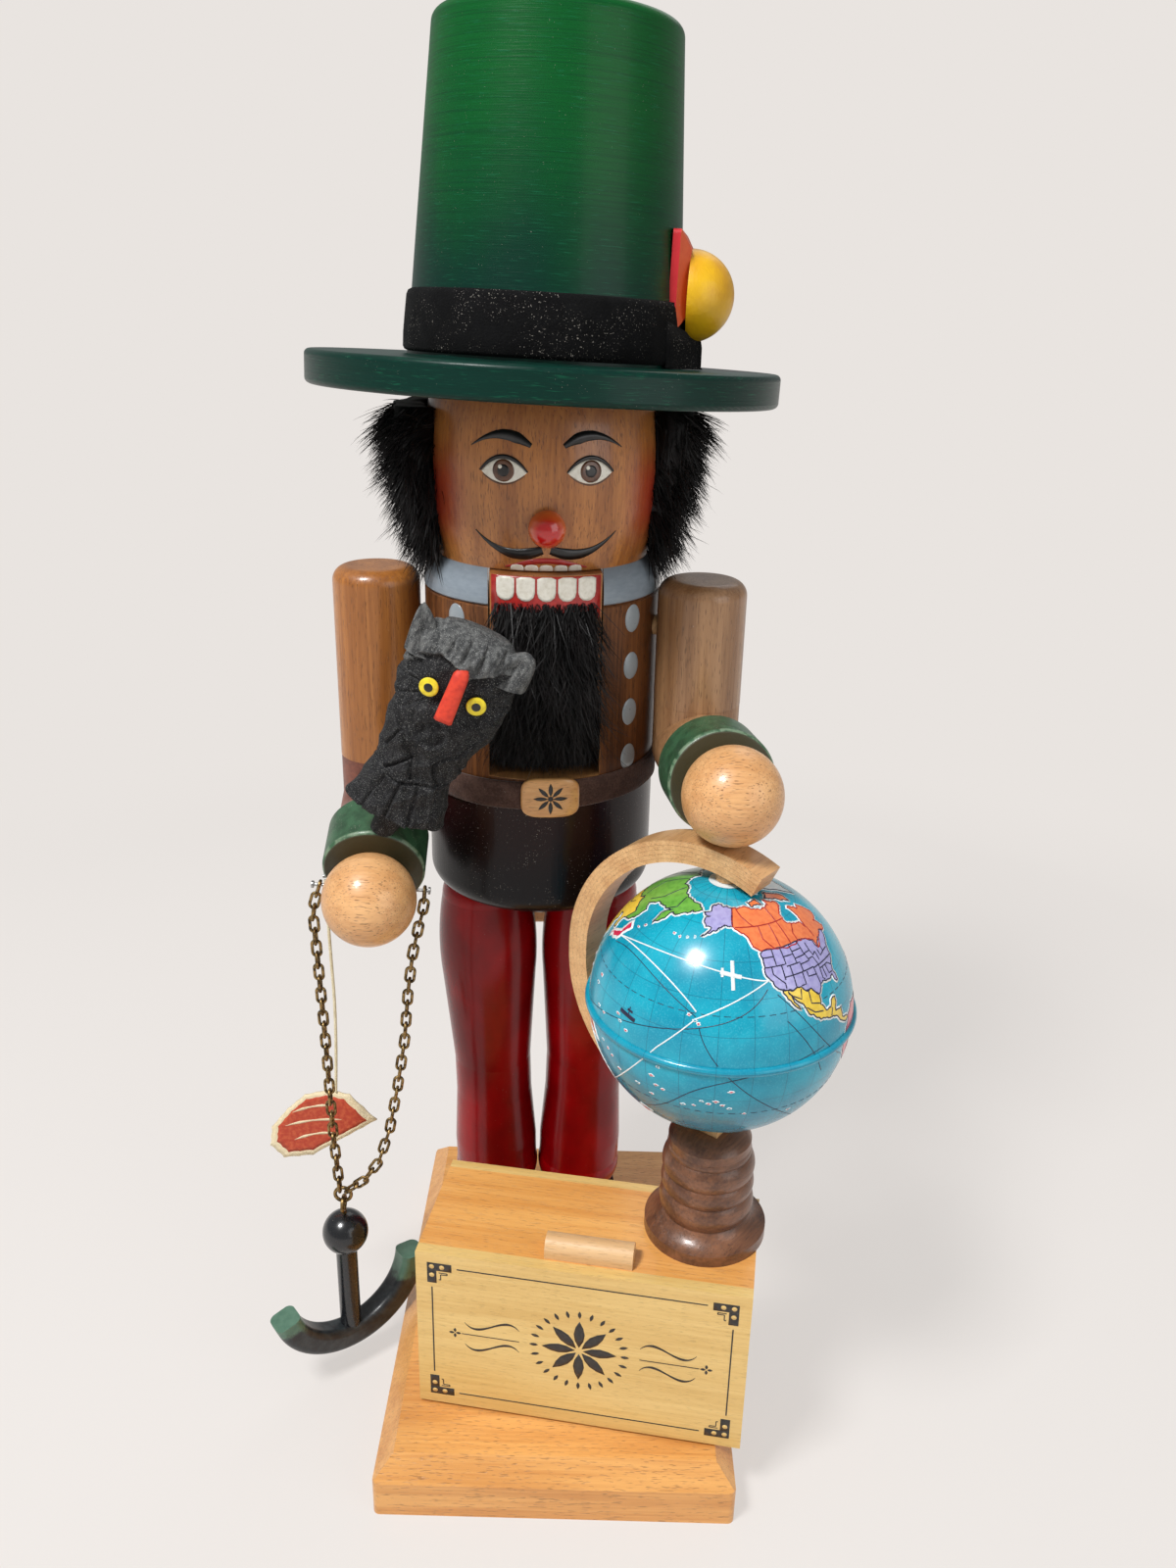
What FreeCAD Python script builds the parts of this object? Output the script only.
import FreeCAD, Part
import math
import os
from types import SimpleNamespace
from FreeCAD import Placement, Rotation, Vector
import Sketcher

# A wooden nutcracker figure on a plinth, with a small chest and a turning globe in front of it,
# an owl on the left arm, and an anchor on two strands of chain that hang from nails in the left hand.
# Millimetres. The origin is the centre of the plinth's bottom face, the front faces -Y and Z is up.
# Right and left are the viewer's: right is +X.

doc = FreeCAD.newDocument("nutcracker_figure")

SIZES = {
    # plinth
    "plinth_wide": 110.0,
    "plinth_deep": 157.4,
    "plinth_high": 19.0,
    "plinth_bevel_in": 6.0,
    "plinth_bevel_down": 6.5,
    "plinth_corner": 2.0,
    # chest: planks glued to a box
    "chest_wide": 101.0,
    "chest_deep": 43.2,
    "chest_top": 79.0,
    "chest_foot": 20.0,
    "plank_front": 3.9,
    "plank_back": 3.4,
    "plank_side": 3.6,
    "lid_seam": 17.0,
    "pull_long": 26.6,
    "pull_wide": 7.8,
    "pull_high": 6.0,
    # globe and its stand
    "foot_base": 18.6,
    "foot_groove": 13.1,
    "foot_dome": 12.5,
    "globe_radius": 37.5,
    "globe_wall": 0.6,
    "globe_height": 160.5,
    "equator_bead": 1.25,
    "hoop_outer": 44.9,
    "hoop_thick": 6.5,
    "hoop_wide": 10.0,
    "hoop_offset": 5.9,
    "hoop_height": 163.1,
    "hoop_drop": 3.0,
    "hoop_foot_end": 5.1,
    "hoop_tip_angle": 25.0,
    "axle_radius": 1.22,
    "axle_play": 0.08,
    # legs and shoes
    "shoe_top": 43.4,
    "shoe_wide": 26.4,
    "leg_spread": 14.6,
    "leg_lean": 1.6,
    "leg_calf": 14.4,
    "leg_thigh": 15.9,
    # torso
    "torso_radius": 35.5,
    "torso_bottom": 168.0,
    "torso_edge": 7.0,
    "collar_bottom": 265.1,
    "torso_top": 275.0,
    "neck_radius": 31.3,
    "slot_wide": 32.5,
    "slot_floor": 214.3,
    "belt_bottom": 205.1,
    "belt_wide": 8.6,
    "belt_thick": 1.2,
    "belt_slant": 1.6,
    "buckle_wide": 16.6,
    "buckle_high": 12.3,
    "button_wide": 6.4,
    "button_high": 8.2,
    "button_proud": 0.65,
    "button_sunk": 0.1,
    # jaw lever
    "lever_play": 0.5,
    "lever_pivot_y": 6.0,
    "lever_pivot_z": 246.0,
    "pin_radius": 2.5,
    "pin_play": 0.08,
    "jaw_top_gap": 0.4,
    "tail_end": 127.0,
    "tail_front": 37.2,
    "tail_back": 45.0,
    "beard_wide": 30.0,
    "beard_front": 38.0,
    # head and hat
    "head_crown": 32.3,
    "head_bow": 97.0,
    "head_cut": 322.0,
    "nose_radius": 5.2,
    "nose_height": 287.5,
    "hair_inner": 34.9,
    "hair_outer": 52.0,
    "brim_radius": 67.2,
    "brim_thick": 9.1,
    "brim_round": 1.5,
    "brim_height": 324.4,
    "crown_radius": 39.3,
    "crown_taper": 0.0673,
    "crown_top": 89.7,
    "crown_round": 3.0,
    "band_low": 5.6,
    "band_high": 21.6,
    "band_thick": 1.3,
    "cockade_radius": 12.2,
    "cockade_wide": 26.0,
    "cockade_edge": 2.1,
    "cockade_bevel_in": 4.5,
    "cockade_bevel_down": 2.7,
    "cockade_corner": 1.2,
    "cockade_back": 35.2,
    "cockade_plate_height": 26.9,
    "cockade_ball_height": 23.8,
    # arms and hands
    "arm_radius": 13.1,
    "arm_edge": 4.5,
    "arm_top": 270.0,
    "cuff_radius": 15.4,
    "cuff_long": 19.0,
    "hand_radius": 13.9,
    "cuff_to_hand": 12.0,
    "dowel_radius": 3.0,
    # chain and anchor
    "chain_pitch": 4.1,
    "chain_wire": 0.95,
    "chain_link_wide": 3.5,
    "chain_play": 0.15,
    "chain_nail": 0.5,
    "chain_nail_end": 17.0,
    "chain_nail_back": 5.0,
    "ring_radius": 2.6,
    "ring_wire": 0.6,
    "anchor_ball": 7.5,
    "shank_radius": 3.5,
    "crescent_radius": 24.0,
    "crescent_thick": 8.6,
    # hang tag
    "tag_thick": 0.8,
    "thread_thick": 1.0,
}


class Size:
    """A length that keeps both its number and its formula in the sheet."""

    def __init__(self, number, formula):
        self.number = number
        self.formula = formula

    def __float__(self):
        return self.number

    def __add__(self, other):
        other = size(other)
        return Size(self.number + other.number, f"({self.formula} + {other.formula})")

    def __sub__(self, other):
        other = size(other)
        return Size(self.number - other.number, f"({self.formula} - {other.formula})")

    def __mul__(self, other):
        other = size(other)
        return Size(self.number * other.number, f"({self.formula} * {other.formula})")

    def __truediv__(self, other):
        other = size(other)
        return Size(self.number / other.number, f"({self.formula} / {other.formula})")

    def __radd__(self, other):
        return size(other) + self

    def __rsub__(self, other):
        return size(other) - self

    def __rmul__(self, other):
        return size(other) * self

    def __neg__(self):
        return size(0) - self


def size(value):
    """Any number as a Size."""
    if isinstance(value, Size):
        return value
    return Size(float(value), f"({float(value):.6f})")


def fill_sheet():
    """Writes the driving dimensions to the sheet and returns them by name."""
    sheet = doc.addObject("Spreadsheet::Sheet", "Sizes")
    named = {}
    for row, (name, number) in enumerate(SIZES.items(), start=1):
        sheet.set(f"A{row}", name)
        sheet.set(f"B{row}", str(number))
        sheet.setAlias(f"B{row}", name)
        named[name] = Size(number, f"Sizes.{name}")
    doc.recompute()
    return SimpleNamespace(**named)


S = fill_sheet()
NODES = []

# Frames: each group of pieces is laid out in its own frame


def frame(x, y, z, turn):
    """A place whose own X axis is turned about Z, in degrees."""
    return Placement(Vector(x, y, z), Rotation(Vector(0, 0, 1), turn))


def at(place, x=0, y=0, z=0, rotation=None):
    """A place inside another one."""
    return place.multiply(Placement(Vector(float(x), float(y), float(z)), rotation or Rotation()))


def along(direction):
    """The rotation that points Z along a direction."""
    return Rotation(Vector(0, 0, 1), Vector(*direction))


TO_RIGHT = along((1, 0, 0))
TO_FRONT = along((0, -1, 0))
ROW = Placement()
FIGURE = frame(-10.4, 26.6, 0, 4.5)
CHEST = frame(-43.4, -53.7, 0, -8.77)
GLOBE = frame(44.4, -38.6, 0, -36.2)
HAT_LEAN = along((0.034, 0.04, 1))
HAT = Placement(Vector(-10.4, 26.6, float(S.brim_height)), HAT_LEAN)

# Helpers that make one kind of object each


def keep(obj):
    """Marks an object as a sub-part, written to a file of its own."""
    NODES.append(obj)
    return obj


def bind(obj, name, value):
    """Sets a property and ties it to the sheet."""
    value = size(value)
    setattr(obj, name, value.number)
    obj.setExpression(name, value.formula)


def new(kind, label, place):
    obj = doc.addObject(kind, label)
    obj.Label = label
    obj.Placement = place
    return obj


def cylinder(label, radius, height, place):
    """A cylinder along the place's Z."""
    obj = new("Part::Cylinder", label, place)
    bind(obj, "Radius", radius)
    bind(obj, "Height", height)
    return obj


def cone(label, radius_low, radius_high, height, place):
    obj = new("Part::Cone", label, place)
    bind(obj, "Radius1", radius_low)
    bind(obj, "Radius2", radius_high)
    bind(obj, "Height", height)
    return obj


def box(label, x_long, y_long, z_long, place):
    """A box with its lowest corner at the place."""
    obj = new("Part::Box", label, place)
    bind(obj, "Length", x_long)
    bind(obj, "Width", y_long)
    bind(obj, "Height", z_long)
    return obj


def ball(label, radius, place, low=-90, high=90):
    obj = new("Part::Sphere", label, place)
    bind(obj, "Radius", radius)
    obj.Angle1 = low
    obj.Angle2 = high
    return obj


def torus(label, radius, wire, place):
    obj = new("Part::Torus", label, place)
    bind(obj, "Radius1", radius)
    bind(obj, "Radius2", wire)
    return obj


def cut(label, base, *tools):
    """The base without the tools."""
    obj = doc.addObject("Part::Cut", label)
    obj.Label = label
    obj.Base = base
    obj.Tool = tools[0] if len(tools) == 1 else fuse(label + "_tools", *tools)
    return obj


def fuse(label, *pieces):
    obj = doc.addObject("Part::MultiFuse", label)
    obj.Label = label
    obj.Shapes = list(pieces)
    return obj


def group(label, *pieces):
    """Separate solids of one kind in one node."""
    obj = doc.addObject("Part::Compound", label)
    obj.Label = label
    obj.Links = list(pieces)
    return obj


def common(label, *pieces):
    obj = doc.addObject("Part::MultiCommon", label)
    obj.Label = label
    obj.Shapes = list(pieces)
    return obj


def free_shape(label, shape, place=ROW):
    """A sub-part whose form is worked out here."""
    obj = doc.addObject("Part::Feature", label)
    obj.Label = label
    obj.Shape = shape
    obj.Placement = place
    return obj


def sketch_on(body, role, name):
    """A sketch on one of the body's own origin planes."""
    sketch = body.newObject("Sketcher::SketchObject", name)
    plane = [f for f in body.Origin.OriginFeatures if f.Role == role][0]
    sketch.AttachmentSupport = [(plane, "")]
    sketch.MapMode = "FlatFace"
    return sketch


def arc_between(start, end, radius):
    """An arc of under a half circle; a positive radius has its centre on the left of the way."""
    middle = (start + end) * 0.5
    chord = end - start
    left = Vector(-chord.y, chord.x, 0).normalize()
    rise = math.sqrt(max(radius * radius - chord.Length ** 2 / 4, 0))
    centre = middle + left * math.copysign(rise, radius)
    first, last = (start, end) if radius > 0 else (end, start)
    angles = [math.atan2(p.y - centre.y, p.x - centre.x) for p in (first, last)]
    circle = Part.Circle(centre, Vector(0, 0, 1), abs(radius))
    return Part.ArcOfCircle(circle, angles[0], angles[1])


def outline(sketch, corners):
    """Draws a closed outline. A corner is (x, y), or (x, y, radius) where an arc leads to it."""
    corners = [tuple(size(value) for value in corner) for corner in corners]
    ends = []
    for index, corner in enumerate(corners):
        before = corners[index - 1]
        start = Vector(before[0].number, before[1].number, 0)
        end = Vector(corner[0].number, corner[1].number, 0)
        if len(corner) == 3:
            radius = corner[2].number
            geometry = sketch.addGeometry(arc_between(start, end, radius), False)
            ends.append((geometry, 1, 2) if radius > 0 else (geometry, 2, 1))
        else:
            geometry = sketch.addGeometry(Part.LineSegment(start, end), False)
            ends.append((geometry, 1, 2))
    for index, corner in enumerate(corners):
        geometry, _, last = ends[index]
        following, first, _ = ends[(index + 1) % len(ends)]
        sketch.addConstraint(Sketcher.Constraint("Coincident", geometry, last, following, first))
        for kind, value, axis in (("DistanceX", corner[0], -2), ("DistanceY", corner[1], -1)):
            if value.number == 0:
                sketch.addConstraint(Sketcher.Constraint("PointOnObject", geometry, last, axis))
            else:
                hold(sketch, Sketcher.Constraint(kind, -1, 1, geometry, last, value.number), value)
        if len(corner) == 3:
            radius = corner[2] if corner[2].number > 0 else -corner[2]
            hold(sketch, Sketcher.Constraint("Radius", geometry, radius.number), radius)


def hold(sketch, constraint, value):
    """Adds a dimension that follows the sheet."""
    index = sketch.addConstraint(constraint)
    sketch.setExpression(f"Constraints[{index}]", value.formula)


def turned(label, place, corners, angle=360):
    """A piece turned about its Z axis; the corners are (radius, height)."""
    body = new("PartDesign::Body", label, place)
    sketch = sketch_on(body, "XZ_Plane", label + "_profile")
    outline(sketch, corners)
    turning = body.newObject("PartDesign::Revolution", label + "_turning")
    turning.Profile = sketch
    turning.ReferenceAxis = (sketch, ["V_Axis"])
    turning.Angle = angle
    return body


def sawn(label, place, role, corners, thick, both_ways=True):
    """A piece sawn from a plank along an outline."""
    body = new("PartDesign::Body", label, place)
    sketch = sketch_on(body, role, label + "_outline")
    outline(sketch, corners)
    pad = body.newObject("PartDesign::Pad", label + "_plank")
    pad.Profile = sketch
    pad.Midplane = both_ways
    bind(pad, "Length", thick)
    return body


def rounded_edges(body, base, radius, wanted):
    """Rounds the edges that a test picks."""
    doc.recompute()
    names = [f"Edge{i + 1}" for i, edge in enumerate(base.Shape.Edges) if wanted(edge)]
    fillet = body.newObject("PartDesign::Fillet", body.Name + "_rounding")
    fillet.Base = (base, names)
    bind(fillet, "Radius", radius)
    return fillet


# Plinth, with the two screws that hold the figure from below


def round_cornered(half_x, half_y, corner):
    """A rectangle with round corners."""
    return [
        (half_x - corner, -half_y),
        (half_x, -half_y + corner, corner),
        (half_x, half_y - corner),
        (half_x - corner, half_y, corner),
        (corner - half_x, half_y),
        (-half_x, half_y - corner, corner),
        (-half_x, corner - half_y),
        (corner - half_x, -half_y, corner),
    ]


def bevelled_board(label, place, wide, deep, corner, thick, bevel_in, bevel_down):
    """A board with round corners whose upper edges are bevelled."""
    half_x = wide / 2
    half_y = deep / 2
    rim = round_cornered(half_x, half_y, corner)
    board = sawn(f"{label}_board", place, "XY_Plane", rim, thick, both_ways=False)
    bevel = new("Part::Wedge", f"{label}_bevel", at(place, rotation=Rotation(Vector(1, 0, 0), 90)))
    spread = bevel_in / bevel_down * (thick - bevel_down)
    for axis, half in (("X", half_x), ("Z", half_y)):
        bind(bevel, f"{axis}min", -half - spread)
        bind(bevel, f"{axis}max", half + spread)
        bind(bevel, f"{axis}2min", bevel_in - half)
        bind(bevel, f"{axis}2max", half - bevel_in)
    bind(bevel, "Ymin", 0)
    bind(bevel, "Ymax", thick)
    return common(f"{label}_blank", board, bevel)


def make_plinth():
    return bevelled_board("plinth", ROW, S.plinth_wide, S.plinth_deep, S.plinth_corner,
                          S.plinth_high, S.plinth_bevel_in, S.plinth_bevel_down)


def make_leg_screws():
    """Two countersunk wood screws from the plinth's underside into the legs."""
    screws = []
    for side in (-1, 1):
        place = at(FIGURE, side * float(S.leg_spread), 0, 1.5)
        profile = [(0, 0), (4.2, 0), (2.0, 2.6), (2.0, 50.0), (0, 54.0)]
        screws.append(turned(f"leg_screw_{'right' if side > 0 else 'left'}", place, profile))
    return group("leg_screws", *screws)


def screw_recess(side, name):
    """The countersink's open mouth below the screw's head."""
    return cylinder(f"screw_recess_{name}", 4.6, 2.7, at(FIGURE, side * float(S.leg_spread), 0, -1))


# Legs and shoes


def make_shoe(side, name):
    """A plain boot foot, with a sloping instep and a round toe."""
    low = S.plinth_high
    top = S.shoe_top
    profile = [
        (17.0, low),
        (17.0, top - 4),
        (13.0, top, 4.0),
        (-12.0, top),
        (-20.0, top - 9.0, -14.0),
        (-28.0, low + 7.0, 13.0),
        (-28.0, low),
    ]
    place = at(FIGURE, side * float(S.leg_spread))
    shoe = sawn(f"{name}_shoe_blank", place, "YZ_Plane", profile, S.shoe_wide)
    rounded_edges(shoe, shoe.Tip, 3.0, toe_edge)
    return shoe


def toe_edge(edge):
    """The long edges of a shoe's upper, not those of its sole."""
    bounds = edge.BoundBox
    flat = bounds.XLength < 0.01
    return flat and bounds.ZMax > 24 and bounds.YMax < 16.9 and bounds.ZLength > 0.5


def leg_place(side):
    lean = Rotation(Vector(0, 1, 0), side * float(S.leg_lean))
    return at(FIGURE, side * float(S.leg_spread), 0, S.shoe_top, lean)


def make_leg(side, name):
    """A turned leg: a calf, a slim knee and a full thigh."""
    profile = [
        (0, -0.6),
        (10.3, -0.6),
        (S.leg_calf - 0.1, 11.0, 11.0),
        (S.leg_calf, 20.0),
        (S.leg_calf - 1.2, 40.0),
        (S.leg_calf - 1.2, 54.0),
        (S.leg_thigh, 88.0),
        (14.6, 117.4, 100.0),
        (10.9, 124.6, 9.0),
        (10.9, 126.4),
        (0, 126.4),
    ]
    return turned(f"{name}_leg_blank", leg_place(side), profile)


def make_leg_dowels():
    """One dowel from each leg into the torso."""
    dowels = []
    for side in (-1, 1):
        place = at(leg_place(side), 0, 0, 108)
        dowels.append(cylinder(f"leg_dowel_{side + 1}", S.dowel_radius + 1, 34, place))
    return group("leg_dowels", *dowels)


# Torso


def make_torso():
    """The turned coat, with the collar ring at its top."""
    radius = S.torso_radius
    profile = [
        (0, S.torso_bottom),
        (radius - S.torso_edge, S.torso_bottom),
        (radius, S.torso_bottom + S.torso_edge, S.torso_edge),
        (radius, S.collar_bottom - 0.5),
        (radius - 0.6, S.collar_bottom),
        (radius + 0.1, S.collar_bottom + 0.7),
        (S.neck_radius, S.torso_top, 10.5),
        (0, S.torso_top),
    ]
    return turned("torso_blank", FIGURE, profile)


def make_slot():
    """The jaw slot goes right through from front to back and is open to the top."""
    deep = 100
    place = at(FIGURE, -S.slot_wide / 2, -deep / 2, S.slot_floor)
    return box("jaw_slot", S.slot_wide, deep, 70, place)


def make_belt():
    slant = Rotation(Vector(0, 1, 0), -float(S.belt_slant))
    place = at(FIGURE, 0, 0, S.belt_bottom, slant)
    strap = cylinder("belt_strap", S.torso_radius + S.belt_thick, S.belt_wide, place)
    core = cylinder("belt_core", S.torso_radius, 30, at(FIGURE, 0, 0, S.belt_bottom - 10))
    return keep(cut("belt", strap, core))


def make_buckle():
    """A plate bent round the belt."""
    inner = S.torso_radius + S.belt_thick + 0.05
    place = at(FIGURE, 0, 0, 195)
    shell = cut(
        "buckle_shell",
        cylinder("buckle_outer", inner + 1.3, 30, place),
        cylinder("buckle_inner", inner, 30, place),
    )
    corner = at(FIGURE, -S.buckle_wide / 2 + 1.6, -50, 209.2 - S.buckle_high / 2)
    window = box("buckle_window", S.buckle_wide, 30, S.buckle_high, corner)
    return keep(common("belt_buckle", shell, window))


def make_buttons(torso, belt):
    """Two columns of four flat oval buttons; the lowest touch the belt."""
    buttons = []
    for side in (-1, 1):
        for number in range(4):
            angle = math.radians(side * 45.5)
            reach = float(S.torso_radius - S.button_sunk)
            place = at(
                FIGURE,
                reach * math.sin(angle),
                -reach * math.cos(angle),
                260.2 - 14.2 * number,
                Rotation(Vector(0, 0, 1), side * 45.5),
            )
            oval = new("Part::Ellipsoid", f"button_{side + 1}_{number}", place)
            bind(oval, "Radius1", S.button_high / 2)
            bind(oval, "Radius2", S.button_wide / 2)
            bind(oval, "Radius3", S.button_proud + S.button_sunk)
            buttons.append(oval)
    return keep(cut("coat_buttons", fuse("button_blanks", *buttons), torso, belt))


# Jaw lever: the lower jaw, the web through the torso and the tail behind it


def make_lever():
    front = -S.torso_radius - 0.5
    profile = [
        (front, S.torso_top - S.jaw_top_gap),
        (front, 240.0),
        (-30.0, 237.0),
        (-14.0, 235.0),
        (S.tail_front - 3, 235.0),
        (S.tail_front, 232.0, 3.0),
        (S.tail_front, 160.0),
        (S.tail_front + 1.0, S.tail_end + 3, 600.0),
        (S.tail_front + 4.0, S.tail_end, 3.2),
        (S.tail_back - 2.0, S.tail_end),
        (S.tail_back, S.tail_end + 3, 3.6),
        (S.tail_back, 249.0),
        (37.0, 257.0, 8.5),
        (-15.0, 257.0),
        (-19.0, 261.0, -4.0),
        (-19.0, S.torso_top - S.jaw_top_gap),
    ]
    wide = S.slot_wide - S.lever_play * 2
    return sawn("jaw_lever_blank", FIGURE, "YZ_Plane", profile, wide)


def make_lever_tools():
    """The waste in front of the rounded jaw, and the bore for the pin."""
    waste = cut(
        "jaw_front_waste",
        box("jaw_front_block", 50, 30, 60, at(FIGURE, -25, -55, 225)),
        cylinder("jaw_front_round", S.torso_radius - 0.3, 80, at(FIGURE, 0, 0, 215)),
    )
    place = at(FIGURE, -30, S.lever_pivot_y, S.lever_pivot_z, TO_RIGHT)
    bore = cylinder("jaw_bore", S.pin_radius + S.pin_play, 60, place)
    return waste, bore


def make_jaw_pin():
    place = at(FIGURE, -34.2, S.lever_pivot_y, S.lever_pivot_z, TO_RIGHT)
    return keep(cylinder("jaw_pin", S.pin_radius, 68.4, place))


def make_beard(lever):
    """The fur beard: over the chin's lower half, under it, and down to the slot's floor."""
    floor = S.slot_floor + 0.4
    profile = [
        (-40.0, 262.0),
        (-40.0, 247.0),
        (-37.0, 236.0, 34.0),
        (-31.0, 224.5),
        (-23.0, floor, 22.0),
        (-15.5, floor),
        (-16.0, 226.0),
        (-18.0, 238.6),
        (-33.0, 262.0),
    ]
    blank = sawn("beard_blank", FIGURE, "YZ_Plane", profile, S.beard_wide)
    bulge = cylinder("beard_bulge", S.beard_front, 60, at(FIGURE, 0, 0, 210))
    return keep(cut("beard", common("beard_round", blank, bulge), lever))


# Head, nose and hair


def make_head():
    profile = [
        (0, S.torso_top),
        (S.neck_radius, S.torso_top),
        (S.head_crown, S.head_cut, S.head_bow),
        (S.head_crown, S.head_cut + 6),
        (0, S.head_cut + 6),
    ]
    return turned("head_blank", FIGURE, profile)


def make_head_dowels():
    """Two dowels hold the head on the torso's cheeks, beside the slot."""
    dowels = [cylinder(f"head_dowel_{side + 1}", S.dowel_radius, 26, at(FIGURE, side * 24.0, 0, 262))
              for side in (-1, 1)]
    return keep(group("head_dowels", *dowels))


def make_nose():
    """A turned ball on a peg."""
    place = at(FIGURE, 0, -25, S.nose_height, TO_FRONT)
    peg = cylinder("nose_peg", 2.0, 10, place)
    tip = ball("nose_ball", S.nose_radius, at(FIGURE, 0, -35.6, S.nose_height))
    return keep(fuse("nose", tip, peg))


def make_hair():
    """A band of fur round the back and both sides of the head."""
    profile = [
        (S.hair_inner, 276.0),
        (43.0, 274.8),
        (S.hair_outer, 290.0, 16.0),
        (49.0, 309.0, 24.0),
        (38.0, 316.0, 16.0),
        (S.hair_inner, 315.0),
    ]
    start = -25
    place = at(FIGURE, 0, 0, 0, Rotation(Vector(0, 0, 1), start))
    return keep(turned("hair", place, profile, 180 - 2 * start))


# Hat


def make_brim():
    half = S.brim_thick / 2
    rim = S.brim_round
    profile = [
        (0, -half),
        (S.brim_radius - rim, -half),
        (S.brim_radius, -half + rim, rim),
        (S.brim_radius, half - rim),
        (S.brim_radius - rim, half, rim),
        (0, half),
    ]
    return turned("hat_brim_blank", HAT, profile)


def crown_at(height):
    """The crown's radius at a height above the brim's middle."""
    return S.crown_radius - S.crown_taper * height


def make_crown():
    low = S.brim_thick / 2
    top = S.crown_top
    edge = S.crown_round
    profile = [
        (0, low),
        (crown_at(low), low),
        (crown_at(top - edge), top - edge),
        (crown_at(top) - edge, top, edge + 0.1),
        (0, top),
    ]
    return turned("hat_crown_blank", HAT, profile)


def make_band():
    """The velvet band above the brim."""
    high = S.band_high - S.band_low
    place = at(HAT, 0, 0, S.band_low)
    low_radius = crown_at(S.band_low)
    high_radius = crown_at(S.band_high)
    cloth = cone("band_cloth", low_radius + S.band_thick, high_radius + S.band_thick, high, place)
    core = cone("band_core", low_radius, high_radius, high, place)
    return cut("band_ring", cloth, core)


def make_cockade(crown, band):
    """A bevelled square plate, hollowed to the crown and its band, and a half ball on a peg."""
    side = at(HAT, 0, 0, 0, Rotation(Vector(0, 0, 1), -7.5))
    thick = S.cockade_edge + S.cockade_bevel_down
    place = at(side, S.cockade_back, 0, S.cockade_plate_height, TO_RIGHT)
    plate = bevelled_board("cockade_plate", place, S.cockade_wide, S.cockade_wide, S.cockade_corner,
                           thick, S.cockade_bevel_in, S.cockade_bevel_down)
    front = at(side, S.cockade_back + thick, 0, S.cockade_ball_height, TO_RIGHT)
    dome = ball("cockade_dome", S.cockade_radius, front, 0, 90)
    peg_long = 14
    peg = cylinder("cockade_peg", 2.0, peg_long, at(front, 0, 0, 1 - peg_long))
    keep(fuse("cockade_ball", dome, peg))
    keep(cut("cockade_plate", plate, peg, crown, band))
    return peg


def make_hat_dowel():
    return keep(cylinder("hat_dowel", 5.0, 46, at(HAT, 0, 0, -22)))


# Arms: each is an upper arm, a forearm with a flared cuff, and a ball for a hand


def arm_facts(side):
    """Places of the elbow and the hand, and the upper arm's foot."""
    if side < 0:
        elbow = Vector(-60.3, 22.8, 196.0)
        hand = Vector(-58.3, -22.0, 180.3)
    else:
        elbow = Vector(37.4, 13.7, 218.2)
        hand = Vector(44.3, -37.4, 222.2)
    way = (hand - elbow).normalize()
    return SimpleNamespace(
        elbow=elbow, hand=hand, way=way, long=(hand - elbow).Length, joint=elbow.z + 14.6)


def make_upper_arm(side, name):
    facts = arm_facts(side)
    radius = S.arm_radius
    foot = facts.joint
    profile = [
        (0, foot),
        (radius, foot),
        (radius, S.arm_top - S.arm_edge),
        (radius - S.arm_edge, S.arm_top, S.arm_edge),
        (0, S.arm_top),
    ]
    place = Placement(Vector(facts.elbow.x, facts.elbow.y, 0), Rotation())
    return turned(f"{name}_upper_arm_blank", place, profile)


def make_forearm(side, name):
    """A turned forearm that flares to a cuff, with the elbow block that carries it."""
    facts = arm_facts(side)
    end = facts.long - S.cuff_to_hand
    back = end - S.cuff_long
    radius = S.arm_radius
    profile = [
        (0, 0),
        (radius - 0.1, 0),
        (radius - 0.1, back - 4),
        (S.cuff_radius, back + 3, -14.0),
        (S.cuff_radius, end - 1.2),
        (S.cuff_radius - 0.9, end, 1.6),
        (0, end),
    ]
    place = Placement(facts.elbow, Rotation(Vector(0, 0, 1), facts.way))
    turning = turned(f"{name}_cuff_turning", place, profile)
    knob = ball(f"{name}_elbow_ball", radius - 0.1, Placement(facts.elbow, Rotation()))
    stub = cylinder(f"{name}_elbow_stub", radius - 0.1, facts.joint - facts.elbow.z,
                    Placement(facts.elbow, Rotation()))
    return fuse(f"{name}_forearm_blank", turning, knob, stub)


def make_arm_dowels():
    shoulders = []
    elbows = []
    wrists = []
    for side, name in ((-1, "left"), (1, "right")):
        facts = arm_facts(side)
        axis = Vector(FIGURE.Base.x, FIGURE.Base.y, 0)
        out = (Vector(facts.elbow.x, facts.elbow.y, 0) - axis).normalize()
        start = axis + out * 24.0 + Vector(0, 0, 255)
        place = Placement(start, Rotation(Vector(0, 0, 1), out))
        shoulders.append(cylinder(f"shoulder_dowel_{name}", S.dowel_radius, 25, place))
        place = Placement(facts.elbow, Rotation())
        elbows.append(cylinder(f"elbow_dowel_{name}", S.dowel_radius, 32, place))
        start = facts.elbow + facts.way * (facts.long - 26)
        place = Placement(start, Rotation(Vector(0, 0, 1), facts.way))
        wrists.append(cylinder(f"wrist_dowel_{name}", S.dowel_radius, 28, place))
    return (
        keep(group("shoulder_dowels", *shoulders)),
        keep(group("elbow_dowels", *elbows)),
        keep(group("wrist_dowels", *wrists)),
    )


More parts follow.
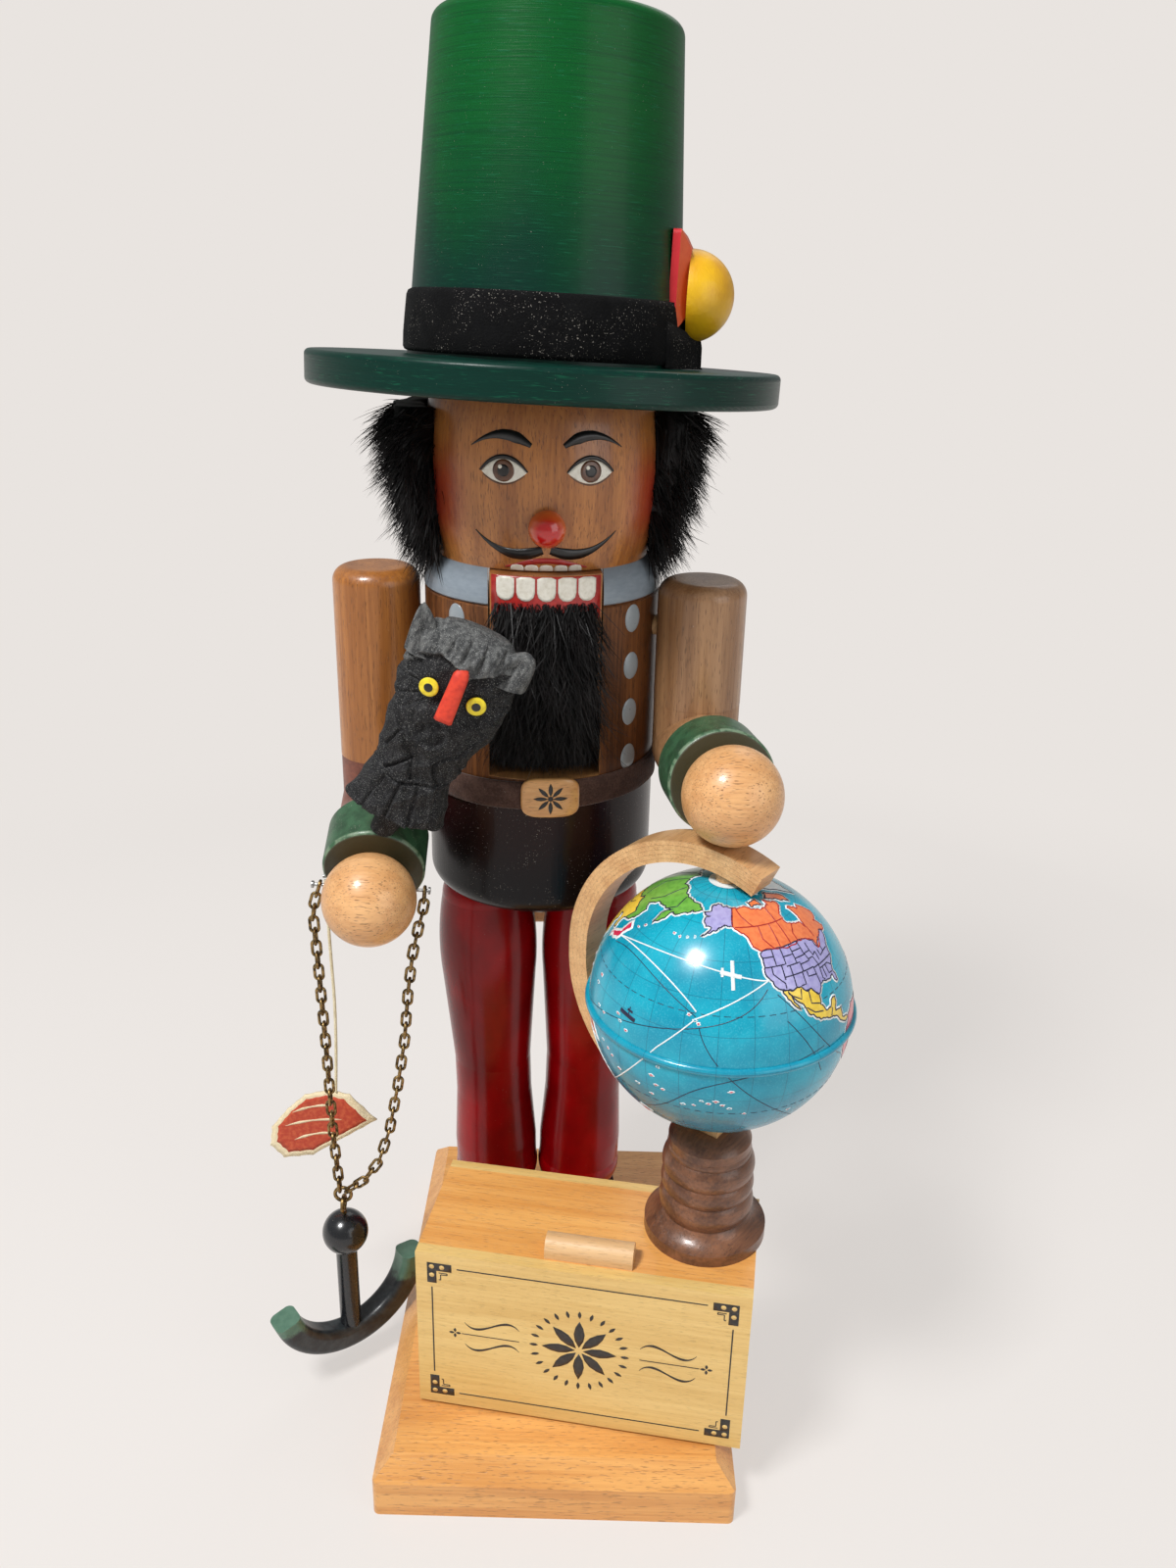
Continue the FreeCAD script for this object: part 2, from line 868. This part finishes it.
def make_arm(side, name, dowels, *more):
    """Upper arm, forearm and hand; returns the forearm."""
    shoulder_dowels, elbow_dowels, wrist_dowels = dowels
    keep(cut(f"{name}_upper_arm", make_upper_arm(side, name), shoulder_dowels, elbow_dowels))
    centre = Placement(arm_facts(side).hand, Rotation())
    hand = ball(f"{name}_hand_blank", S.hand_radius, centre)
    keep(cut(f"{name}_hand", hand, wrist_dowels, *more))
    forearm = make_forearm(side, name)
    return keep(cut(f"{name}_forearm", forearm, elbow_dowels, wrist_dowels, hand, *more))


# Owl


OWL_BASE = Vector(-46.5, -19.0, 210.0)
OWL_SIDE_LEAN = 22.3
OWL_FORWARD_LEAN = 11.2
OWL_FOOT = (-4.0, 3.0, -14.0)
OWL_CORE = (-1.0, 1.0, 6.0)


def owl_place():
    side = Rotation(Vector(0, 1, 0), OWL_SIDE_LEAN)
    return Placement(OWL_BASE, side.multiply(Rotation(Vector(1, 0, 0), OWL_FORWARD_LEAN)))


def ellipse_wire(half_x, half_y, x_shift, y_shift, height):
    curve = Part.Ellipse(Vector(x_shift, y_shift, height), half_x, half_y)
    return Part.Wire([curve.toShape()])


def spike(foot, tip, radius, tip_radius):
    return Part.makeCone(radius, tip_radius, (tip - foot).Length, foot, tip - foot)


def make_owl():
    """A carved owl: a flared skirt, a full body, a broad head, two ear tufts, a beak and a foot."""
    stations = (
        (15.5, 8.6, -2.8, 0.0, -2.5),
        (14.4, 8.4, -1.7, 0.0, 5.0),
        (14.1, 9.2, -0.3, -0.6, 13.0),
        (14.8, 9.6, 0.0, -1.0, 26.0),
        (15.6, 9.4, 0.0, -1.2, 38.0),
        (16.1, 9.2, 0.0, -1.2, 47.0),
        (14.0, 8.0, 0.0, -0.5, 56.0),
        (9.5, 5.0, 0.0, 0.0, 59.5),
    )
    left_ear = spike(Vector(-10.0, -1.5, 50.0), Vector(-15.8, -2.5, 62.7), 5.2, 0.6)
    right_ear = spike(Vector(9.4, -1.5, 50.0), Vector(14.2, -2.5, 60.9), 5.4, 1.6)
    beak = spike(Vector(0, -9.2, 52.0), Vector(0, -12.4, 37.0), 2.6, 0.8)
    foot = spike(Vector(*OWL_FOOT), Vector(*OWL_CORE), 6.0, 7.0)
    body = Part.makeLoft([ellipse_wire(*station) for station in stations], True)
    for piece in (left_ear, right_ear, beak, foot):
        body = body.fuse(piece)
    return free_shape("owl_blank", body, owl_place())


def make_owl_dowel():
    """From inside the cuff up through the owl's foot."""
    foot = owl_place().multVec(Vector(*OWL_FOOT))
    way = (owl_place().multVec(Vector(*OWL_CORE)) - foot).normalize()
    place = Placement(foot - way * 9.0, Rotation(Vector(0, 0, 1), way))
    return keep(cylinder("owl_dowel", 2.0, 27.0, place))


# Chain: two strands of links from nails in the hand's sides, meeting in a ring


ANCHOR_X = -71.9
ANCHOR_Y = -20.0
EYE_HEIGHT = 67.4
NAIL_SLOPE = (1.0, 0.0, -0.035)
NAIL_START = 7.0
LEFT_STRAND = [(-73.8, -17.3, 182.5), (-75.5, -17.2, 177.0), (-76.3, -17.0, 172.0), (-75.8, -17.0, 154.0),
               (-75.0, -17.2, 126.0), (-74.2, -18.4, 92.0)]
RIGHT_STRAND = [(-42.6, -17.3, 181.4), (-43.0, -17.3, 176.6), (-43.8, -17.2, 172.6), (-44.9, -17.2, 168.6),
                (-46.8, -17.2, 160.0), (-48.6, -17.2, 147.0), (-50.3, -17.3, 129.0), (-53.0, -17.5, 112.0),
                (-56.0, -18.0, 96.0), (-59.8, -19.2, 84.0), (-64.6, -20.0, 77.2)]


def ring_height():
    """The ring hangs in the anchor's eye with a little slack."""
    return EYE_HEIGHT + 2 * float(S.ring_radius) - 2 * float(S.ring_wire) - 0.15


def ring_hook(angle):
    """Where a strand's last link ends, inside the ring and clear of its wire."""
    turn = math.radians(angle)
    reach = float(S.ring_radius - S.ring_wire - S.chain_wire / 2 - S.chain_play)
    return Vector(ANCHOR_X + reach * math.cos(turn), ANCHOR_Y, ring_height() + reach * math.sin(turn))


def nail_hook(nail, following):
    """Where a strand's first link starts, above its nail."""
    away = float(S.chain_nail + S.chain_wire / 2 + S.chain_play)
    return nail + (nail - following).normalize() * away


def strand_route(points, hook_angle):
    """The points that a strand's wire ends and link middles follow from its nail to the ring."""
    points = [Vector(*point) for point in points]
    return [nail_hook(points[0], points[1])] + points[1:] + [ring_hook(hook_angle)]


def point_on(route, distance):
    """The point and direction at a distance along a route."""
    for start, end in zip(route, route[1:]):
        run = (end - start).Length
        if distance <= run:
            return start + (end - start) * (distance / run), (end - start).normalize()
        distance -= run
    return route[-1], (route[-1] - route[-2]).normalize()


def chain_link(half_long):
    """One link: a wire bent to a long ring, in its own XY plane, long along X."""
    wire = float(S.chain_wire) / 2
    bend = float(S.chain_link_wide) / 2 - wire
    half = half_long - bend
    ends = [
        Part.LineSegment(Vector(-half, -bend, 0), Vector(half, -bend, 0)),
        Part.Arc(Vector(half, -bend, 0), Vector(half_long, 0, 0), Vector(half, bend, 0)),
        Part.LineSegment(Vector(half, bend, 0), Vector(-half, bend, 0)),
        Part.Arc(Vector(-half, bend, 0), Vector(-half_long, 0, 0), Vector(-half, -bend, 0)),
    ]
    path = Part.Wire([end.toShape() for end in ends])
    section = Part.Wire([Part.Circle(Vector(0, -bend, 0), Vector(1, 0, 0), wire).toShape()])
    return path.makePipeShell([section], True, False)


def make_strand(name, points, hook_angle):
    """Links that cross in turn; an odd number, so that the first and the last face sideways."""
    route = strand_route(points, hook_angle)
    total = sum((b - a).Length for a, b in zip(route, route[1:]))
    overlap = float(S.chain_wire + S.chain_play)
    count = 2 * int((total - overlap) / float(S.chain_pitch) / 2) + 1
    pitch = (total - overlap) / count
    half_long = (pitch + overlap) / 2
    link = chain_link(half_long)
    pieces = []
    for number in range(count):
        point, way = point_on(route, half_long + number * pitch)
        back = way.cross(Vector(1, 0, 0)).normalize()
        across = back.cross(way)
        flat = across if number % 2 else back
        piece = link.copy()
        piece.Placement = Placement(point, Rotation(way, flat, way.cross(flat), "XYZ"))
        pieces.append(piece)
    print(f"chain {name}: {count} links, pitch {pitch:.3f}")
    keep(free_shape(f"chain_{name}_strand", Part.makeCompound(pieces)))


def make_hand_pins():
    """Two headed nails for the chain in the hand's sides, and a small one for the tag in the cuff."""
    facts = arm_facts(-1)
    middle = facts.hand - facts.way * float(S.chain_nail_back)
    pins = []
    for side in (-1, 1):
        way = Vector(*NAIL_SLOPE).normalize() * side
        place = Placement(middle + way * NAIL_START, Rotation(Vector(0, 0, 1), way))
        end = S.chain_nail_end - NAIL_START
        head = S.chain_nail + 0.6
        profile = [(0, 0), (S.chain_nail, 0), (S.chain_nail, end), (head, end), (head, end + 0.6), (0, end + 0.6)]
        pins.append(turned(f"chain_nail_{side + 1}", place, profile))
    start = Vector(-68.0, -5.0, 180.6)
    place = Placement(start, Rotation(Vector(0, 0, 1), Vector(-1, 0, -0.18)))
    pins.append(cylinder("tag_nail", 0.6, 7.6, place))
    return keep(group("hand_pins", *pins))


# Anchor


def make_anchor():
    base = Placement(Vector(ANCHOR_X, ANCHOR_Y, 0), Rotation())
    upright = Rotation(Vector(0, 1, 0), 90)
    facing = Rotation(Vector(1, 0, 0), 90)
    keep(torus("chain_ring", S.ring_radius, S.ring_wire, at(base, 0, 0, ring_height(), facing)))
    ring = torus("anchor_eye_ring", S.ring_radius, S.ring_wire, at(base, 0, 0, EYE_HEIGHT, upright))
    stem = cylinder("anchor_eye_stem", 0.8, 9.0, at(base, 0, 0, EYE_HEIGHT - 11.6))
    eye = keep(fuse("anchor_eye", ring, stem))
    shank = keep(cylinder("anchor_shank", S.shank_radius, 38.0, at(base, 0, 0, 12.5)))
    sphere = ball("anchor_ball_blank", S.anchor_ball, at(base, 0, 0, 56.1))
    keep(cut("anchor_ball", sphere, eye, shank))
    radius = S.crescent_radius
    half = S.crescent_thick / 2
    outer = radius + half
    inner = radius - half
    right = math.radians(-5.0)
    left = math.radians(180 + 14.0)
    profile = [
        (outer * math.cos(right), outer * math.sin(right), outer),
        (inner * math.cos(right), inner * math.sin(right)),
        (0, -inner, -inner),
        (inner * math.cos(left), inner * math.sin(left), -inner),
        (outer * math.cos(left), outer * math.sin(left)),
        (0, -outer, outer),
    ]
    place = at(base, 0, 0, 37.8, Rotation(Vector(0, 0, 1), 38.7))
    arms = sawn("anchor_arms_blank", place, "XZ_Plane", profile, S.crescent_thick)
    rounded_edges(arms, arms.Tip, 2.4, lambda edge: edge.Curve.TypeId == "Part::GeomCircle")
    keep(cut("anchor_arms", arms, shank))


# Chest


def make_chest(tools):
    """A box of seven planks; the front and back boards cover the ends of the others."""
    foot_dowel, pull_pegs = tools
    inside = S.chest_deep - S.plank_front - S.plank_back
    low = S.plinth_high
    tall = S.chest_top - S.chest_foot
    under_lid = S.chest_top - S.plank_side - low
    keep(box("chest_front", S.chest_wide, S.plank_front, tall, at(CHEST, 0, 0, S.chest_foot)))
    back_y = S.chest_deep - S.plank_back
    keep(box("chest_back", S.chest_wide, S.plank_back, tall, at(CHEST, 0, back_y, S.chest_foot)))
    keep(box("chest_left_side", S.plank_side, inside, under_lid, at(CHEST, 0, S.plank_front, low)))
    right_x = S.chest_wide - S.plank_side
    keep(box("chest_right_side", S.plank_side, inside, under_lid, at(CHEST, right_x, S.plank_front, low)))
    lid_z = S.chest_top - S.plank_side
    seam = S.lid_seam - S.plank_front
    lid_front = box("chest_lid_front_blank", S.chest_wide, seam, S.plank_side,
                    at(CHEST, 0, S.plank_front, lid_z))
    lid_rear = box("chest_lid_rear_blank", S.chest_wide, inside - seam, S.plank_side,
                   at(CHEST, 0, S.lid_seam, lid_z))
    keep(cut("chest_lid_front", lid_front, foot_dowel, pull_pegs))
    keep(cut("chest_lid_rear", lid_rear, foot_dowel))
    keep(box("chest_bottom", S.chest_wide - S.plank_side * 2, inside, S.plank_side,
             at(CHEST, S.plank_side, S.plank_front, low)))


def make_pull():
    """A round-topped bar on the lid."""
    half = S.pull_wide / 2
    straight = S.pull_high - half
    profile = [
        (-half, 0),
        (half, 0),
        (half, straight),
        (0, S.pull_high, half),
        (-half, straight, half),
    ]
    place = at(CHEST, 38.6 + S.pull_long / 2, 4.3 + half, S.chest_top)
    bar = sawn("chest_pull_bar", place, "YZ_Plane", profile, S.pull_long)
    pegs = [cylinder(f"pull_peg_{n}", 1.2, 5.0, at(CHEST, 45.0 + 14 * n, 4.3 + half, S.chest_top - 3))
            for n in (0, 1)]
    pegs = group("pull_pegs", *pegs)
    keep(fuse("chest_pull", bar, *pegs.Links))
    return pegs


# Globe and its stand


def make_globe_foot():
    """A turned foot: a bell, two beads and a dome."""
    top = S.chest_top
    profile = [
        (0, top),
        (S.foot_base, top),
        (S.foot_base, top + 3.6),
        (S.foot_groove, top + 7.8, -9.0),
        (S.foot_groove, top + 15.8, 7.0),
        (S.foot_groove, top + 21.9, 5.2),
        (S.foot_groove - 0.6, top + 29.3, 6.2),
        (S.foot_dome, top + 31.6, 2.6),
        (S.foot_dome, top + 34.2),
        (7.0, top + 37.6, 7.5),
        (0, top + 37.8),
    ]
    return turned("globe_foot_blank", GLOBE, profile)


def make_hoop():
    """The half hoop that holds the globe's axle, bent from plies."""
    outer = S.hoop_outer
    inner = S.hoop_outer - S.hoop_thick
    middle = -S.hoop_offset
    high = S.hoop_height
    low = S.hoop_height - S.hoop_drop
    tip = math.radians(float(S.hoop_tip_angle))
    profile = [
        (middle + outer * math.sin(tip), high + outer * math.cos(tip)),
        (middle, high + outer, outer),
        (middle - outer, high, outer),
        (middle - outer, low),
        (middle, low - outer, outer),
        (S.hoop_foot_end, low - outer),
        (S.hoop_foot_end, low - inner),
        (middle, low - inner),
        (middle - inner, low, -inner),
        (middle - inner, high),
        (middle, high + inner, -inner),
        (middle + inner * math.sin(tip), high + inner * math.cos(tip), -inner),
    ]
    return sawn("globe_arm_blank", GLOBE, "XZ_Plane", profile, S.hoop_wide)


def make_globe():
    """Two hollow half balls of tin, with a bead where they meet, bored for the axle."""
    centre = at(GLOBE, 0, 0, S.globe_height)
    bead = torus("equator_ring", S.globe_radius - 0.1, S.equator_bead, centre)
    reach = S.globe_radius * 2 + 10
    bore = cylinder("globe_bore", S.axle_radius + S.axle_play, reach, at(GLOBE, 0, 0, 118))
    hollow = ball("globe_hollow", S.globe_radius - S.globe_wall, centre)
    north = ball("globe_north_blank", S.globe_radius, centre, 0, 90)
    south = ball("globe_south_blank", S.globe_radius, centre, -90, 0)
    keep(cut("globe_north", north, bead, bore, hollow))
    keep(cut("globe_south", fuse("globe_south_trim", south, bead), bore, hollow))


def make_axle():
    low = 108.0
    return keep(cylinder("globe_axle", S.axle_radius, 99.2, at(GLOBE, 0, 0, low)))


def make_bushes(hoop):
    """A turned wooden bush above and below the globe."""
    bushes = []
    bottom = float(S.hoop_height - S.hoop_drop - S.hoop_outer + S.hoop_thick)
    south = float(S.globe_height - S.globe_radius)
    north = float(S.globe_height + S.globe_radius)
    heights = ((bottom, south - 0.15 - bottom, 3.0), (north + 0.15, 200.95 - north - 0.15, 3.4))
    for number, (low, high, radius) in enumerate(heights):
        blank = cylinder(f"bush_blank_{number}", radius, high, at(GLOBE, 0, 0, low))
        hole = cylinder(f"bush_hole_{number}", S.axle_radius, 20, at(GLOBE, 0, 0, low - 5))
        bushes.append(cut(f"bush_{number}", blank, hole, hoop))
    return keep(group("globe_bushes", *bushes))


# Hang tag on its thread


TAG_RIM = [(-99.0, 78.6), (-98.0, 86.0), (-92.2, 93.4), (-86.0, 99.4), (-78.0, 101.6), (-71.0, 100.0),
           (-62.2, 90.2), (-71.6, 84.0), (-84.6, 75.0), (-94.6, 73.6)]
THREAD_ROUTE = [(-74.9, -5.0, 178.0), (-74.7, -5.4, 158.0), (-74.0, -5.2, 126.0), (-75.6, -5.6, 101.0)]


def make_tag():
    place = Placement(Vector(0, -5.4, 0), Rotation())
    card = sawn("tag_card_blank", place, "XZ_Plane", TAG_RIM, S.tag_thick)
    return card


def tube_along(points, radius):
    """A tube on straight runs joined by tangent arcs, each as large as its runs allow."""
    points = [Vector(*p) for p in points]
    edges = []
    start = points[0]
    for before, corner, after in zip(points, points[1:], points[2:]):
        back = (before - corner).normalize()
        on = (after - corner).normalize()
        shorter = min((before - corner).Length, (after - corner).Length)
        reach = 0.45 * shorter
        turn = math.pi - math.acos(max(-1.0, min(1.0, back.dot(on))))
        bend = reach / math.tan(turn / 2)
        print(f"thread: turn {math.degrees(turn):.1f} degrees, radius {bend:.0f}")
        enter = corner + back * reach
        leave = corner + on * reach
        inward = (back + on).normalize()
        centre_off = bend / math.cos(turn / 2)
        middle = corner + inward * (centre_off - bend)
        edges.append(Part.LineSegment(start, enter).toShape())
        edges.append(Part.Arc(enter, middle, leave).toShape())
        start = leave
    edges.append(Part.LineSegment(start, points[-1]).toShape())
    path = Part.Wire(edges)
    way = (points[1] - points[0]).normalize()
    section = Part.Wire([Part.Circle(points[0], way, radius).toShape()])
    tube = path.makePipeShell([section], True, False)
    expected = math.pi * radius ** 2 * path.Length
    print(f"thread: length {path.Length:.1f}, volume {tube.Volume:.2f}, expected {expected:.2f}")
    return tube


def make_thread():
    return keep(free_shape("tag_thread", tube_along(THREAD_ROUTE, float(S.thread_thick) / 2)))


# Assembly: what passes through another piece also cuts its hole there


def build():
    leg_screws = keep(make_leg_screws())
    recesses = [screw_recess(-1, "left"), screw_recess(1, "right")]
    keep(cut("plinth", make_plinth(), leg_screws, *recesses))
    leg_dowels = keep(make_leg_dowels())
    torso_blank = make_torso()
    for side, name in ((-1, "left"), (1, "right")):
        shoe = make_shoe(side, name)
        keep(cut(f"{name}_shoe", shoe, leg_screws))
        leg = make_leg(side, name)
        keep(cut(f"{name}_leg", leg, shoe, torso_blank, leg_screws, leg_dowels))

    lever_blank = make_lever()
    waste, bore = make_lever_tools()
    lever = keep(cut("jaw_lever", lever_blank, waste, bore))
    jaw_pin = make_jaw_pin()
    make_beard(lever)

    head_dowels = make_head_dowels()
    dowels = make_arm_dowels()
    hat_dowel = make_hat_dowel()
    keep(cut("torso", torso_blank, make_slot(), jaw_pin, head_dowels, dowels[0], leg_dowels))
    belt = make_belt()
    make_buckle()
    make_buttons(torso_blank, belt)

    nose = make_nose()
    above = box("above_head", 200, 200, 60, at(HAT, -100, -100, -S.brim_thick / 2))
    keep(cut("head", make_head(), above, nose, head_dowels, hat_dowel))
    make_hair()
    keep(cut("hat_brim", make_brim(), hat_dowel))
    crown = make_crown()
    band = make_band()
    cockade_peg = make_cockade(crown, band)
    keep(cut("hat_crown", crown, hat_dowel, cockade_peg))
    keep(cut("hat_band", band, cockade_peg))

    owl_dowel = make_owl_dowel()
    left_forearm = make_arm(-1, "left", dowels, owl_dowel, make_hand_pins())
    make_arm(1, "right", dowels)
    keep(cut("owl", make_owl(), left_forearm, owl_dowel))

    make_strand("left", LEFT_STRAND, 128)
    make_strand("right", RIGHT_STRAND, 52)
    make_anchor()

    foot_dowel = keep(cylinder("foot_dowel", S.dowel_radius, 18, at(GLOBE, 0, 0, 73.0)))
    pull_pegs = make_pull()
    make_chest((foot_dowel, pull_pegs))
    axle = make_axle()
    hoop = keep(cut("globe_arm", make_hoop(), axle))
    keep(cut("globe_foot", make_globe_foot(), foot_dowel, axle, hoop))
    make_globe()
    make_bushes(hoop)

    thread = make_thread()
    keep(cut("tag_card", make_tag(), thread))


def check_and_write():
    doc.recompute()
    for obj in doc.Objects:
        if "Invalid" in obj.State or "Error" in obj.State:
            raise RuntimeError(f"{obj.Label} failed: {obj.State}")
    os.makedirs("parts", exist_ok=True)
    for old in os.listdir("parts"):
        os.remove(os.path.join("parts", old))
    for node in NODES:
        if node.Shape.isNull() or not node.Shape.isValid():
            raise RuntimeError(f"{node.Label} has no valid shape")
        if not node.Shape.Solids or min(solid.Volume for solid in node.Shape.Solids) < 0.01:
            raise RuntimeError(f"{node.Label} has an empty solid")
    for node in NODES:
        node.Shape.exportStep(f"parts/{node.Label}.step")
    print(f"{len(NODES)} sub-parts written")


build()
check_and_write()
